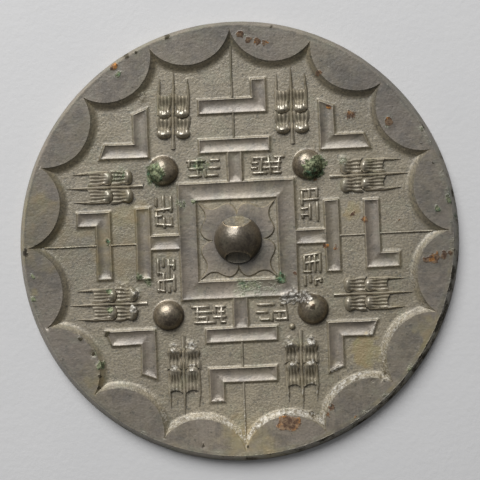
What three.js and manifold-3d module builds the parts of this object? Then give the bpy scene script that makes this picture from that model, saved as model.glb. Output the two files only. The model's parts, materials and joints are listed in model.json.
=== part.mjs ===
// Cast bronze mirror, decorated back upward, polished face down on z = 0.
// Millimetres, +Z up. Origin: centre of the polished face.
// One casting: plate, rim of linked arcs, pierced knob, four bosses and relief.
import * as THREE from "three";
import { ConvexGeometry } from "three/addons/geometries/ConvexGeometry.js";
import { mergeVertices } from "three/addons/utils/BufferGeometryUtils.js";
import Module from "manifold-3d";

const wasm = await Module();
wasm.setup();
const { Manifold, Mesh: SolidMesh } = wasm;

// ---- plate and rim -------------------------------------------------------
const FACE_RADIUS = 69.0;          // polished face, the widest part
const RIM_TOP_RADIUS = 67.6;       // upper outer edge, the side leans inward
const EDGE_EASE = 0.35;            // small chamfer on both outer edges
const GROUND_Z = 2.0;              // level of the sunk ground of the back
const RIM_Z = 3.8;                 // flat top of the rim
const ARC_COUNT = 16;              // linked arcs around the rim
const ARC_RADIUS = 14.4;           // each arc, at the top of the rim
const ARC_CENTRE = 71.4;           // distance of an arc's centre from the axis
const ARC_WALL = 2.2;              // plan width of the sloping wall under an arc
const DISC_STEPS = 96;
const ARC_STEPS = 48;

// ---- knob and its cord hole ------------------------------------------------
const KNOB_RADIUS = 7.5;           // half ball standing on the ground
const KNOB_STEPS = 40;
const HOLE_HALF_WIDTH = 3.2;
const HOLE_WALL = 2.4;             // straight side of the arch
const HOLE_HEIGHT = 5.6;           // crown of the arch above the ground
const MOUTH_OUT = 5.4;             // worn mouths, centre distance from the axis
const MOUTH_HALF = [3.9, 2.7, 4.3];// half width, half depth, half height
const MOUTH_UP = 2.3;              // mouth centre above the ground

// ---- bosses ----------------------------------------------------------------
const BOSS_AT = 22.7;              // x and y of the four bosses
const BOSS_RADIUS = 4.7;
const BOSS_HEIGHT = 4.1;

// ---- dished bands ------------------------------------------------------------
const RIDGE_H = 0.6;               // ridge of a band above the ground
const BAND_WALL = 0.75;            // plan width of a band's outer wall
const DISH = [                     // inset from the ridge, depth below it
  [0.12, 0.0], [0.75, 0.27], [1.35, 0.42],
];
const SQUARE_OUT = 18.15;          // square frame, outer ridge half side
const SQUARE_IN = 12.9;            // square frame, inner ridge half side
const T_BAR = { near: 27.7, far: 31.8, half: 11.0 };
const T_STEM_HALF = 2.1;
const L_BAR = { near: 40.1, far: 44.4, left: -10.6, right: 10.4 };
const L_HOOK = { inner: 6.2, tip: 50.2 };
const V_CORNER = { near: 27.2, far: 31.5, end: 42.4, cut: 40.7 };

// ---- quatrefoil under the knob -------------------------------------------------
const PETAL_H = 0.35;
const PETAL_STEPS = 12;            // points along half a petal
const PETAL_CORE = 7.9;            // round middle where the petals join, under the knob
const PETAL = {                    // one half of one petal, mirrored on its diagonal
  notch: [8.3, 0.15], shoulder: [10.6, 1.3], bulge: [11.35, 3.2],
  waist: [9.8, 7.3], tip: [11.75, 11.75],
};

// ---- leaf sprays ---------------------------------------------------------------
const SPRAY_AT = 18.5;             // stem offset from the middle of its side
const STEM = { start: 29.4, half: 0.45, height: 0.7 };
const LEAF = { high: 1.5, low: 0.75, bulb: 2.6, taper: 0.7, shoulder: 0.55 };
const BULB_STEPS = 5;
const TIERS = [                    // from the inner tier outward
  { start: 32.9, end: 38.9, width: 4.8, aside: 2.9 },
  { start: 39.6, end: 46.3, width: 4.4, aside: 2.75 },
];
const TIPS = { start: 45.6, ends: [51.2, 53.6, 51.2], aside: 4.4, half: 0.55, height: 0.6 };
const TIP_END_H = 0.1;

// ---- thin lines and stroke rows ---------------------------------------------------
const LINE_HALF = 0.3;
const LINE_H = 0.4;
const LINE_RUNS = [[31.4, 40.5], [44.0, 60.6]];
const STROKE_BLOCK = { at: 10.1, near: 19.9, pitch: 1.65, half: 0.42 };
const STROKE_H = 0.45;
const STROKE_END = 5.5;            // half length of a row
const STROKE_GAP = 1.0;            // gap between the two dashes of a row
const STROKE_SPLITS = [-1.6, 1.9, -0.4, 3.0];  // where each row's gap starts

const SINK = 0.4;                  // how deep relief roots in the plate
const OVER = 1.0;                  // how far a cutter runs past what it cuts
const TURNS = 4;                   // the ornament repeats on four sides
const QUARTER = Math.PI / 2;

// ---- solids from geometry ------------------------------------------------------
function solid(geometry) {
  const plain = new THREE.BufferGeometry();
  plain.setAttribute("position", geometry.getAttribute("position"));
  if (geometry.index) plain.setIndex(geometry.index);
  const welded = mergeVertices(plain, 1e-4);
  return new Manifold(new SolidMesh({
    numProp: 3,
    vertProperties: new Float32Array(welded.getAttribute("position").array),
    triVerts: new Uint32Array(welded.index.array),
  }));
}

const spun = (profile, steps) => {
  const line = profile.map(([r, z]) => new THREE.Vector2(r, z));
  return solid(new THREE.LatheGeometry(line, steps).rotateX(QUARTER));
};

const hull = (points) => solid(new ConvexGeometry(
  points.map(([x, y, z]) => new THREE.Vector3(x, y, z))));

const level = (outline, z) => outline.map(([x, y]) => [x, y, z]);

// Moves every side of a convex counter-clockwise outline outward by `by`.
function grown(outline, by) {
  const count = outline.length;
  const sides = outline.map(([x, y], i) => {
    const [u, v] = outline[(i + 1) % count];
    const run = Math.hypot(u - x, v - y);
    const n = [(v - y) / run, (x - u) / run];
    return { n, c: n[0] * x + n[1] * y + by };
  });
  return sides.map((b, i) => {
    const a = sides[(i + count - 1) % count];
    const det = a.n[0] * b.n[1] - a.n[1] * b.n[0];
    return [(a.c * b.n[1] - b.c * a.n[1]) / det, (a.n[0] * b.c - b.n[0] * a.c) / det];
  });
}

const rectangle = (x0, y0, x1, y1) => [[x0, y0], [x1, y0], [x1, y1], [x0, y1]];

// A raised block with sloping walls, `height` above the ground.
const raised = (outline, height, wall) => hull([
  ...level(grown(outline, wall), GROUND_Z),
  ...level(grown(outline, wall), GROUND_Z - SINK),
  ...level(outline, GROUND_Z + height),
]);

const dish = (outline) => {
  const ridge = GROUND_Z + RIDGE_H;
  const cut = DISH.map(([inset, depth]) => level(grown(outline, -inset), ridge - depth));
  return hull([...cut.flat(), ...level(outline, ridge + SINK)]);
};

const around = (shape) => Array.from({ length: TURNS }, (_, i) =>
  shape.rotate([0, 0, i * 360 / TURNS]));

const joined = (list) => Manifold.union(list);

// ---- plate with its rim -----------------------------------------------------
function plateWithRim() {
  const disc = spun([
    [0, 0], [FACE_RADIUS - EDGE_EASE, 0], [FACE_RADIUS, EDGE_EASE],
    [RIM_TOP_RADIUS + EDGE_EASE * 0.4, RIM_Z - EDGE_EASE],
    [RIM_TOP_RADIUS - EDGE_EASE * 0.6, RIM_Z], [0, RIM_Z],
  ], DISC_STEPS);
  const recess = new THREE.CylinderGeometry(RIM_TOP_RADIUS - OVER, RIM_TOP_RADIUS - OVER,
    RIM_Z - GROUND_Z + OVER, DISC_STEPS).rotateX(QUARTER)
    .translate(0, 0, (RIM_Z + GROUND_Z + OVER) / 2);
  const slope = ARC_WALL / (RIM_Z - GROUND_Z);
  const height = RIM_Z - GROUND_Z + 2 * SINK;
  const lobe = new THREE.CylinderGeometry(ARC_RADIUS - SINK * slope,
    ARC_RADIUS + ARC_WALL + SINK * slope, height, ARC_STEPS)
    .rotateX(QUARTER).translate(ARC_CENTRE, 0, (RIM_Z + GROUND_Z) / 2);
  const step = 360 / ARC_COUNT;
  const lobes = Array.from({ length: ARC_COUNT }, (_, i) =>
    solid(lobe).rotate([0, 0, (i + 0.5) * step]));
  return disc.subtract(solid(recess).subtract(joined(lobes)));
}

// ---- pierced knob -----------------------------------------------------------
function cordHole() {
  const arch = new THREE.Shape();
  arch.moveTo(-HOLE_HALF_WIDTH, 0);
  arch.lineTo(HOLE_HALF_WIDTH, 0);
  arch.lineTo(HOLE_HALF_WIDTH, HOLE_WALL);
  arch.absellipse(0, HOLE_WALL, HOLE_HALF_WIDTH, HOLE_HEIGHT - HOLE_WALL, 0, Math.PI);
  const length = 2 * (KNOB_RADIUS + OVER);
  const bore = new THREE.ExtrudeGeometry(arch, {
    depth: length, bevelEnabled: false, curveSegments: 8,
  }).rotateX(QUARTER).translate(0, length / 2, GROUND_Z);
  const mouth = new THREE.SphereGeometry(1, 20, 12).scale(...MOUTH_HALF);
  const mouths = [-1, 1].map((side) => solid(mouth.clone()
    .translate(0, side * MOUTH_OUT, GROUND_Z + MOUTH_UP)));
  const floor = new THREE.BoxGeometry(length + 2 * OVER, length + 2 * OVER, RIM_Z)
    .translate(0, 0, GROUND_Z + PETAL_H - RIM_Z / 2);
  return joined([solid(bore), ...mouths]).subtract(solid(floor));
}

const dome = (radius, height, rings, steps) => {
  const profile = [[0, GROUND_Z - SINK], [radius, GROUND_Z - SINK]];
  for (let i = 0; i <= rings; i += 1) {
    const turn = QUARTER * i / rings;
    const r = i === rings ? 0 : radius * Math.cos(turn);
    profile.push([r, GROUND_Z + height * Math.sin(turn)]);
  }
  return spun(profile, steps);
};

// ---- quatrefoil -----------------------------------------------------------------
function quatrefoil() {
  const { notch, shoulder, bulge, waist, tip } = PETAL;
  const points = [notch, shoulder, bulge, waist, tip];
  const edge = new THREE.SplineCurve(points.map(([x, y]) => new THREE.Vector2(x, y)));
  const side = edge.getPoints(PETAL_STEPS);
  const other = side.slice(0, -1).reverse().map((p) => new THREE.Vector2(p.y, p.x));
  const petal = new THREE.Shape([new THREE.Vector2(0, 0), ...side, ...other]);
  const body = new THREE.ExtrudeGeometry(petal, {
    depth: PETAL_H + SINK, bevelEnabled: false,
  }).translate(0, 0, GROUND_Z - SINK);
  const core = new THREE.CylinderGeometry(PETAL_CORE, PETAL_CORE, PETAL_H + SINK, KNOB_STEPS)
    .rotateX(QUARTER).translate(0, 0, GROUND_Z + (PETAL_H - SINK) / 2);
  return [solid(core), ...around(solid(body))];
}

// ---- square frame, T, L and V marks -----------------------------------------------
function bands() {
  const square = rectangle(-SQUARE_OUT, SQUARE_IN, SQUARE_OUT, SQUARE_OUT);
  const stem = rectangle(-T_STEM_HALF, SQUARE_OUT, T_STEM_HALF, T_BAR.near);
  const bar = rectangle(-T_BAR.half, T_BAR.near, T_BAR.half, T_BAR.far);
  const lBar = rectangle(L_BAR.left, L_BAR.near, L_BAR.right, L_BAR.far);
  const lHook = rectangle(L_HOOK.inner, L_BAR.near, L_BAR.right, L_HOOK.tip);
  const { near, far, end, cut } = V_CORNER;
  const vArm = [[near, near], [end, near], [cut, far], [near, far]];
  const vOther = [[near, near], [far, near], [far, cut], [near, end]];
  const rooted = rectangle(-T_STEM_HALF, SQUARE_OUT - BAND_WALL,
    T_STEM_HALF, T_BAR.near + BAND_WALL);
  const outlines = [square, rooted, bar, lBar, lHook, vArm, vOther];
  const dishes = [square, stem, bar, lBar, lHook, vArm, vOther];
  return {
    raise: outlines.flatMap((o) => around(raised(o, RIDGE_H, BAND_WALL))),
    lower: dishes.flatMap((o) => around(dish(o))),
  };
}

// ---- leaf sprays --------------------------------------------------------------------
// One leaf: a high round bulb toward the knob, falling away to its outer end.
function leaf(x, tier) {
  const half = tier.width / 2;
  const ring = (size) => Array.from({ length: BULB_STEPS + 1 }, (_, i) => {
    const turn = Math.PI * (1 + i / BULB_STEPS);
    return [x + half * size * Math.cos(turn),
      tier.start + LEAF.bulb * (1 + size * Math.sin(turn))];
  });
  const tail = (size) => [[x - half * size, tier.end], [x + half * size, tier.end]];
  return hull([
    ...level([...ring(1), ...tail(1)], GROUND_Z - SINK),
    ...level(ring(1), GROUND_Z + LEAF.high * LEAF.shoulder),
    ...level(ring(LEAF.taper), GROUND_Z + LEAF.high),
    ...level(tail(1), GROUND_Z + LEAF.low * LEAF.shoulder),
    ...level(tail(LEAF.taper), GROUND_Z + LEAF.low),
  ]);
}

// One thin pointed tip at the outer end of a spray.
function tipBlade(x, end) {
  const { start, half, height } = TIPS;
  const foot = [[x - half, start], [x + half, start], [x, end]];
  return hull([
    ...level(foot, GROUND_Z - SINK), ...level(foot, GROUND_Z + TIP_END_H),
    [x, start, GROUND_Z + height],
  ]);
}

function spray(x) {
  const stem = rectangle(x - STEM.half / 2, STEM.start, x + STEM.half / 2, TIPS.start);
  const leaves = TIERS.flatMap((tier) =>
    [-1, 1].map((side) => leaf(x + side * tier.aside, tier)));
  const tips = TIPS.ends.map((end, i) => tipBlade(x + (i - 1) * TIPS.aside, end));
  return joined([raised(stem, STEM.height, STEM.half / 2), ...leaves, ...tips]);
}

// ---- thin lines and rows of strokes ---------------------------------------------------
const lines = () => LINE_RUNS.flatMap(([from, to]) => around(
  raised(rectangle(-LINE_HALF / 2, from, LINE_HALF / 2, to), LINE_H, LINE_HALF)));

function strokeBlock(x, turned) {
  const { near, pitch, half } = STROKE_BLOCK;
  const dash = (from, to, y) => raised(rectangle(x + turned * from, y - half / 2,
    x + turned * to, y + half / 2), STROKE_H, half / 2);
  return joined(STROKE_SPLITS.flatMap((split, row) => {
    const y = near + row * pitch + half;
    return [[-STROKE_END, split], [split + STROKE_GAP, STROKE_END]]
      .map(([from, to]) => (turned > 0 ? dash(from, to, y) : dash(to, from, y)));
  }));
}

// ---- the casting ---------------------------------------------------------------------
function casting() {
  const { raise, lower } = bands();
  const frame = joined([plateWithRim(), ...raise]).subtract(joined(lower));
  const boss = dome(BOSS_RADIUS, BOSS_HEIGHT, 5, 24)
    .translate([BOSS_AT, BOSS_AT, 0]);
  const relief = [
    ...around(boss), ...quatrefoil(), ...lines(),
    ...around(joined([spray(-SPRAY_AT), spray(SPRAY_AT)])),
    ...around(joined([strokeBlock(-STROKE_BLOCK.at, 1), strokeBlock(STROKE_BLOCK.at, -1)])),
  ];
  const knob = dome(KNOB_RADIUS, KNOB_RADIUS, 8, KNOB_STEPS);
  return joined([frame, ...relief, knob]).subtract(cordHole());
}

const bronze = new THREE.MeshStandardMaterial({
  name: "bronze", color: 0x8c8576, metalness: 0.8, roughness: 0.45,
});

function asMesh(body, name) {
  const data = body.getMesh();
  const geometry = new THREE.BufferGeometry();
  geometry.setAttribute("position",
    new THREE.BufferAttribute(new Float32Array(data.vertProperties), 3));
  geometry.setIndex(new THREE.BufferAttribute(new Uint32Array(data.triVerts), 1));
  geometry.computeVertexNormals();
  const mesh = new THREE.Mesh(geometry, bronze);
  mesh.name = name;
  return mesh;
}

const group = new THREE.Group();
group.name = "ancient_bronze_mirror";
group.add(asMesh(casting(), "mirror"));
export default group;
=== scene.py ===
# %% [markdown]
# # An ancient bronze mirror
# The real mirror is a single casting: a thin disc, polished on one face and
# decorated on the other. It lies on its polished face here, so the back with its
# pierced knob, square frame, leaf sprays and rim of linked arcs looks up.
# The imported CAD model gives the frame: its place, its radius and its height.

# %% Load the frame
import json
import math
import random

import bmesh
import bpy
from mathutils import Matrix, Vector, noise

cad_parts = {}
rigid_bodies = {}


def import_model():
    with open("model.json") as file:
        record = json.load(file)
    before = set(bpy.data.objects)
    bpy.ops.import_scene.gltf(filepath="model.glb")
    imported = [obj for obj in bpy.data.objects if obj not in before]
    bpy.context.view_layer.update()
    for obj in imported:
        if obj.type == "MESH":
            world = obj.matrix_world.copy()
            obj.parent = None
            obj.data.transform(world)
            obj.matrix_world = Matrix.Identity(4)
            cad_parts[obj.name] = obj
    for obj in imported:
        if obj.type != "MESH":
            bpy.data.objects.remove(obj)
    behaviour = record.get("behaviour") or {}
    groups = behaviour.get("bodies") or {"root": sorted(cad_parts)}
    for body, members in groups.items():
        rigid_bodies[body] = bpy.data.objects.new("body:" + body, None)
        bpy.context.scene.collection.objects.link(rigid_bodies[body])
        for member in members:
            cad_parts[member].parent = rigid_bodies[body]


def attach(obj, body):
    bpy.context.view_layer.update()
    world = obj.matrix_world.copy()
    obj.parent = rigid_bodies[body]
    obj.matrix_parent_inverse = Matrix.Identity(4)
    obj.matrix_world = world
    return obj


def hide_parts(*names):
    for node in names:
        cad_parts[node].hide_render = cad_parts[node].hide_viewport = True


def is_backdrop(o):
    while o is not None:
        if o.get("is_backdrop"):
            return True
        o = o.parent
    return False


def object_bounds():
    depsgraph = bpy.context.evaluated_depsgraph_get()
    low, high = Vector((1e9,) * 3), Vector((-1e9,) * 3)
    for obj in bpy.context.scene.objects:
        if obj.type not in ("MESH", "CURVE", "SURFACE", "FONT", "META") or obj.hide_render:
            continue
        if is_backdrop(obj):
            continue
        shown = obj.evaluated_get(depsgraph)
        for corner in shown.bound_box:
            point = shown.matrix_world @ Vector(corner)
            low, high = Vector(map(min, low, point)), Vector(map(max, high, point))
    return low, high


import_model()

CAD_LOW, CAD_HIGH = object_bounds()
print("frame box in metres:", CAD_LOW[:], CAD_HIGH[:])

# %% [markdown]
# ## Units and driving sizes
# The relief is only tenths of a millimetre high, so every shape below is drawn in
# millimetres and the finished casting is brought to metres once, at the end.
# The widest radius and the knob's height come from the frame, the other levels
# are those of the same casting.

# %% Sizes
MM = 0.001
FACE_R = CAD_HIGH.x / MM        # polished face, the widest part
KNOB_TOP = CAD_HIGH.z / MM      # top of the knob
GROUND = 2.0                    # sunk ground of the decorated back
RIM = 3.8                       # flat top of the rim
RIM_R = FACE_R - 1.4            # upper outer edge of the leaning side
KNOB_R = KNOB_TOP - GROUND      # the knob is a half ball on the ground
SINK = 0.5                      # how deep a raised part is rooted in the plate
WELD = 1e-4                     # points closer than this become one
TURN = 2 * math.pi
UP = Vector((0, 0, 1))
GROUND_FINISH, SMOOTH_FINISH, FACE_FINISH, DOME_FINISH, LEAF_FINISH = range(5)
print(f"disc {2 * FACE_R:.1f} mm across, knob {KNOB_TOP:.1f} mm high")

# %% [markdown]
# ## Helpers for a solid
# A moulder thinks in turned shapes and in blocks with sloping walls. `spun` turns a
# profile around the axis. `close_below` gives a shaped sheet straight sides and a
# floor, so that it becomes a solid which can be joined to the plate. `four_sides`
# repeats a shape, because the pattern is the same on all sides of its square.

# %% Turned shapes and closed sheets
def spun(profile, steps):
    bm = bmesh.new()
    verts = [bm.verts.new((r, 0, z)) for r, z in profile]
    edges = [bm.edges.new(pair) for pair in zip(verts, verts[1:])]
    bmesh.ops.spin(bm, geom=verts + edges, cent=(0, 0, 0), axis=UP, dvec=(0, 0, 0),
                   angle=TURN, steps=steps, use_merge=True)
    bmesh.ops.remove_doubles(bm, verts=bm.verts, dist=WELD)
    bmesh.ops.recalc_face_normals(bm, faces=bm.faces)
    return bm


def close_below(bm, depth):
    border = [e for e in bm.edges if e.is_boundary]
    made = bmesh.ops.extrude_edge_only(bm, edges=border)["geom"]
    for v in made:
        if isinstance(v, bmesh.types.BMVert):
            v.co.z = depth
    foot = [e for e in made if isinstance(e, bmesh.types.BMEdge)]
    bmesh.ops.contextual_create(bm, geom=foot)
    bmesh.ops.recalc_face_normals(bm, faces=bm.faces)


def four_sides(bm):
    first = bm.verts[:] + bm.edges[:] + bm.faces[:]
    for quarter in (1, 2, 3):
        copy = bmesh.ops.duplicate(bm, geom=first)["geom"]
        verts = [g for g in copy if isinstance(g, bmesh.types.BMVert)]
        bmesh.ops.rotate(bm, verts=verts, cent=(0, 0, 0),
                         matrix=Matrix.Rotation(quarter * TURN / 4, 3, "Z"))
    return bm


# %% [markdown]
# ## Keeping and combining shapes
# Raised parts wait on one shelf until they are joined to the plate, cutting tools on
# another. Every shape carries the same five finishes in the same order, so each face
# keeps its finish when shapes are joined or cut.

# %% Shelves, finishes and joining
finishes = [bpy.data.materials.new(name)
            for name in ("ground_bronze", "rubbed_bronze", "face_bronze", "dome_bronze",
                         "leaf_bronze")]
parts = bpy.data.collections.new("relief_parts")
tools = bpy.data.collections.new("cutting_tools")
for shelf in (parts, tools):
    bpy.context.scene.collection.children.link(shelf)
print("finishes:", [finish.name for finish in finishes])


def keep(bm, name, shelf=parts):
    """Puts a finished shape on a shelf."""
    mesh = bpy.data.meshes.new(name)
    for finish in finishes:
        mesh.materials.append(finish)
    bm.to_mesh(mesh)
    bm.free()
    piece = bpy.data.objects.new(name, mesh)
    shelf.objects.link(piece)
    print(f"{name}: {len(mesh.polygons)} faces")
    return piece


def combined(piece, operation, shelf):
    """Joins a shelf of parts to a piece, or cuts a shelf of tools out of it."""
    step = piece.modifiers.new(operation, "BOOLEAN")
    step.operation = operation
    step.operand_type = "COLLECTION"
    step.collection = shelf
    step.solver = "MANIFOLD"
    view = bpy.context.evaluated_depsgraph_get()
    mesh = bpy.data.meshes.new_from_object(piece.evaluated_get(view))
    piece.modifiers.clear()
    piece.data = mesh
    for used in list(shelf.objects):
        bpy.data.objects.remove(used)
    print(f"{piece.name} after {operation.lower()}: {len(mesh.polygons)} faces")


# %% [markdown]
# ## The plate and its rim
# The real disc was cast in a two-part mould, with a sunk ground inside a rim whose
# inner edge is a ring of linked arcs. It could be built arc by arc, but a cut is
# simpler. The blank is a turned disc at the full height of the rim. The recess is
# then cut with one tool: a slab from which sixteen turned lobes are taken away, so
# the linked arcs are left standing. The slab's underside is a fine grid, because it
# becomes the ground, which needs enough points to be made uneven later.

# %% The blank
EDGE = 0.35                     # small slope around the polished face
SIDE_STEPS = 4                  # rings on the leaning side, for wear
CORNER_OUT, CORNER_DOWN = 0.08, 0.2      # worn corner where the side meets the rim
EDGE_LINE = 0.45                # dirt gathers this far inside the rim's edge
RIM_RINGS = 12                  # rings that give the rim's top points to wear
AROUND = 288                    # steps of the turned blank
blank_profile = [(0, 0), (FACE_R - EDGE, 0), (FACE_R, EDGE)]
for i in range(1, SIDE_STEPS + 1):
    lean = i / SIDE_STEPS
    blank_profile.append((FACE_R + (RIM_R + CORNER_OUT - FACE_R) * lean,
                          EDGE + (RIM - EDGE - CORNER_DOWN) * lean))
blank_profile += [(RIM_R, RIM), (RIM_R - EDGE_LINE, RIM)]
blank_profile += [(RIM_R - i, RIM) for i in range(1, RIM_RINGS)]
blank_profile.append((0, RIM))
casting = keep(spun(blank_profile, AROUND), "casting", bpy.context.scene.collection)

# %% Rim of linked arcs
ARC_COUNT = 16
ARC_CENTRE = 71.4               # the lobes are turned about points outside the disc
LOBE_STEPS = 120
# Radius from a lobe's own axis, and height: down the wall and into the ground.
ARC_WALL = [(14.4, 4.6), (14.4, 3.8), (14.52, 3.66), (14.95, 3.22), (15.45, 2.74),
            (15.95, 2.34), (16.4, 2.12), (16.9, 2.0), (17.1, 1.8), (17.1, 1.4)]


def lobes():
    """Sixteen turned discs with sloping walls, which the cutting slab has to miss."""
    profile = [(0, ARC_WALL[0][1])] + ARC_WALL + [(0, ARC_WALL[-1][1])]
    shelf = bpy.data.collections.new("lobes")
    bpy.context.scene.collection.children.link(shelf)
    for i in range(ARC_COUNT):
        bm = spun(profile, LOBE_STEPS)
        bmesh.ops.translate(bm, verts=bm.verts, vec=(ARC_CENTRE, 0, 0))
        bmesh.ops.rotate(bm, verts=bm.verts, cent=(0, 0, 0),
                         matrix=Matrix.Rotation((i + 0.5) * TURN / ARC_COUNT, 3, "Z"))
        keep(bm, f"lobe_{i}", shelf)
    return shelf


# %% Sunk ground
GRID_STEP = 0.78                # spacing of the ground's points
SLAB_HALF = 67.0                # half the cutting slab's side
SLAB_TOP = RIM + 1              # the slab stands out above the rim
cells = round(2 * SLAB_HALF / GRID_STEP)
slab = bmesh.new()
bmesh.ops.create_grid(slab, x_segments=cells, y_segments=cells, size=SLAB_HALF)
bmesh.ops.translate(slab, verts=slab.verts, vec=(0, 0, GROUND))
close_below(slab, SLAB_TOP)
recess = keep(slab, "recess", tools)
combined(recess, "DIFFERENCE", lobes())
combined(casting, "DIFFERENCE", tools)

# %% [markdown]
# ## Dished bands: the square frame and the T, L and V marks
# Each mark is a flat band whose top is hollowed like a shallow trough between two
# sharp ridges. A band starts as an outline, drawn a wall's width outside its
# ridge. Repeated insets of the top face then climb the wall, round the ridge and
# sink into the trough, and every inset keeps its distance from the ridge, so the
# corners mitre by themselves.

# %% Outlines
def grown(corners, distance):
    """Moves each side of a counter-clockwise outline outward by the same distance."""
    sides = []
    for (x, y), (u, v) in zip(corners, corners[1:] + corners[:1]):
        run = math.hypot(u - x, v - y)
        nx, ny = (v - y) / run, (x - u) / run
        sides.append((nx, ny, nx * x + ny * y + distance))
    moved = []
    for (ax, ay, ac), (bx, by, bc) in zip(sides[-1:] + sides[:-1], sides):
        det = ax * by - ay * bx
        moved.append(((ac * by - bc * ay) / det, (ax * bc - bx * ac) / det))
    return moved


def box_outline(x0, y0, x1, y1):
    return [(x0, y0), (x1, y0), (x1, y1), (x0, y1)]


def outline_loop(bm, corners, z):
    verts = [bm.verts.new((x, y, z)) for x, y in corners]
    return [bm.edges.new(pair) for pair in zip(verts, verts[1:] + verts[:1])]


# %% Dished bands
# Steps of the insets: width, rise.
WALL_STEPS = [(0.28, 0.13), (0.30, 0.31), (0.17, 0.14)]
MARK_DISH = [(0.09, 0.0), (0.20, -0.10), (0.36, -0.12), (0.45, -0.10), (0.45, -0.07),
             (0.40, -0.03)]
SQUARE_DISH = [(0.09, 0.0), (0.22, -0.08), (0.40, -0.10), (0.50, -0.08), (0.60, -0.05),
               (0.60, -0.02)]
WALL = sum(width for width, rise in WALL_STEPS)
SLICE, LAST_SLICE = 1.25, 0.4   # spacing of the cuts that give long faces points
print(f"wall {WALL:.2f} mm wide, {sum(rise for width, rise in WALL_STEPS):.2f} mm high")


def sliced(bm):
    """Cuts a shape into a fine check, so that long faces can be worn later."""
    for axis in (0, 1):
        places = [v.co[axis] for v in bm.verts]
        at = min(places) + SLICE
        while at < max(places) - LAST_SLICE:
            across = Vector((0, 0, 0))
            across[axis] = 1
            bmesh.ops.bisect_plane(bm, geom=bm.verts[:] + bm.edges[:] + bm.faces[:],
                                   plane_co=across * at, plane_no=across)
            at += SLICE
    return bm


def raised_up(bm):
    """Gives flat faces thickness; returns the top ones with their normals up."""
    bmesh.ops.recalc_face_normals(bm, faces=bm.faces)
    if bm.faces[0].normal.z < 0:
        bmesh.ops.reverse_faces(bm, faces=bm.faces)
    made = bmesh.ops.extrude_face_region(bm, geom=bm.faces[:], use_keep_orig=True)["geom"]
    verts = [g for g in made if isinstance(g, bmesh.types.BMVert)]
    bmesh.ops.translate(bm, verts=verts, vec=(0, 0, SINK))
    bmesh.ops.recalc_face_normals(bm, faces=bm.faces)
    return [g for g in made if isinstance(g, bmesh.types.BMFace)]


def climb(bm, top, steps, finish):
    for width, rise in steps:
        made = bmesh.ops.inset_region(bm, faces=top, thickness=width,
                                      use_even_offset=True, use_boundary=True)
        for face in made["faces"]:
            face.material_index = finish
        verts = list({v for face in top for v in face.verts})
        bmesh.ops.translate(bm, verts=verts, vec=(0, 0, rise))


def dished(bm, top, dish):
    climb(bm, top, WALL_STEPS, GROUND_FINISH)
    climb(bm, top, dish, SMOOTH_FINISH)
    for face in top:
        face.material_index = SMOOTH_FINISH


def band(corners):
    bm = bmesh.new()
    edges = outline_loop(bm, grown(corners, WALL), GROUND - SINK)
    bmesh.ops.contextual_create(bm, geom=edges)
    dished(bm, raised_up(bm), MARK_DISH)
    return sliced(bm)


# %% Square frame
SQUARE_OUT, SQUARE_IN = 18.15, 12.9      # from the middle to its ridges
square = bmesh.new()
outer = grown(box_outline(-SQUARE_OUT, -SQUARE_OUT, SQUARE_OUT, SQUARE_OUT), WALL)
inner = grown(box_outline(-SQUARE_IN, -SQUARE_IN, SQUARE_IN, SQUARE_IN), -WALL)
for corners in (outer, inner):
    outline_loop(square, corners, GROUND - SINK)
bmesh.ops.bridge_loops(square, edges=square.edges[:])
dished(square, raised_up(square), SQUARE_DISH)
keep(sliced(square), "square_frame")

# %% T, L and V marks
T_NEAR, T_FAR, T_HALF, T_STEM = 27.7, 31.8, 11.0, 2.1
L_NEAR, L_FAR, L_LEFT, L_RIGHT = 40.1, 44.4, -10.6, 10.4
L_HOOK, L_TIP = 6.2, 50.2
V_NEAR, V_FAR, V_END, V_CUT = 27.2, 31.5, 42.4, 40.7
t_bar = box_outline(-T_HALF, T_NEAR, T_HALF, T_FAR)
t_stem = box_outline(-T_STEM, SQUARE_OUT, T_STEM, T_NEAR)
l_mark = [(L_LEFT, L_NEAR), (L_RIGHT, L_NEAR), (L_RIGHT, L_TIP), (L_HOOK, L_TIP),
          (L_HOOK, L_FAR), (L_LEFT, L_FAR)]
v_mark = [(V_NEAR, V_NEAR), (V_END, V_NEAR), (V_CUT, V_FAR), (V_FAR, V_FAR),
          (V_FAR, V_CUT), (V_NEAR, V_END)]
for name, corners in {"t_bars": t_bar, "t_stems": t_stem, "l_marks": l_mark,
                      "v_marks": v_mark}.items():
    keep(four_sides(band(corners)), name)

# %% [markdown]
# ## Bosses and knob
# The four bosses and the knob are plain half balls on the real casting. They could be
# cut from spheres, but a turned profile also gives each one the small fillet where
# the metal flowed to the ground.

# %% Half balls
FOOT = 0.35                     # hidden foot around a half ball
FILLET_OUT, FILLET_UP = 0.08, 0.12


def half_ball(radius, height, rings, steps):
    profile = [(0, GROUND - SINK), (radius + FOOT, GROUND - SINK), (radius + FOOT, GROUND)]
    profile.append((radius + FILLET_OUT, GROUND + FILLET_UP))
    for i in range(1, rings + 1):
        turn = TURN / 4 * i / rings
        profile.append((radius * math.cos(turn) if i < rings else 0,
                        GROUND + height * math.sin(turn)))
    bm = spun(profile, steps)
    for face in bm.faces:
        face.material_index = DOME_FINISH
    return bm


BOSS_AT, BOSS_R, BOSS_H = 22.7, 4.6, 4.0      # place on both axes, radius, height
boss = half_ball(BOSS_R, BOSS_H, rings=12, steps=44)
bmesh.ops.translate(boss, verts=boss.verts, vec=(BOSS_AT, BOSS_AT, 0))
keep(four_sides(boss), "bosses")
keep(half_ball(KNOB_R, KNOB_R, rings=22, steps=72), "knob")
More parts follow.
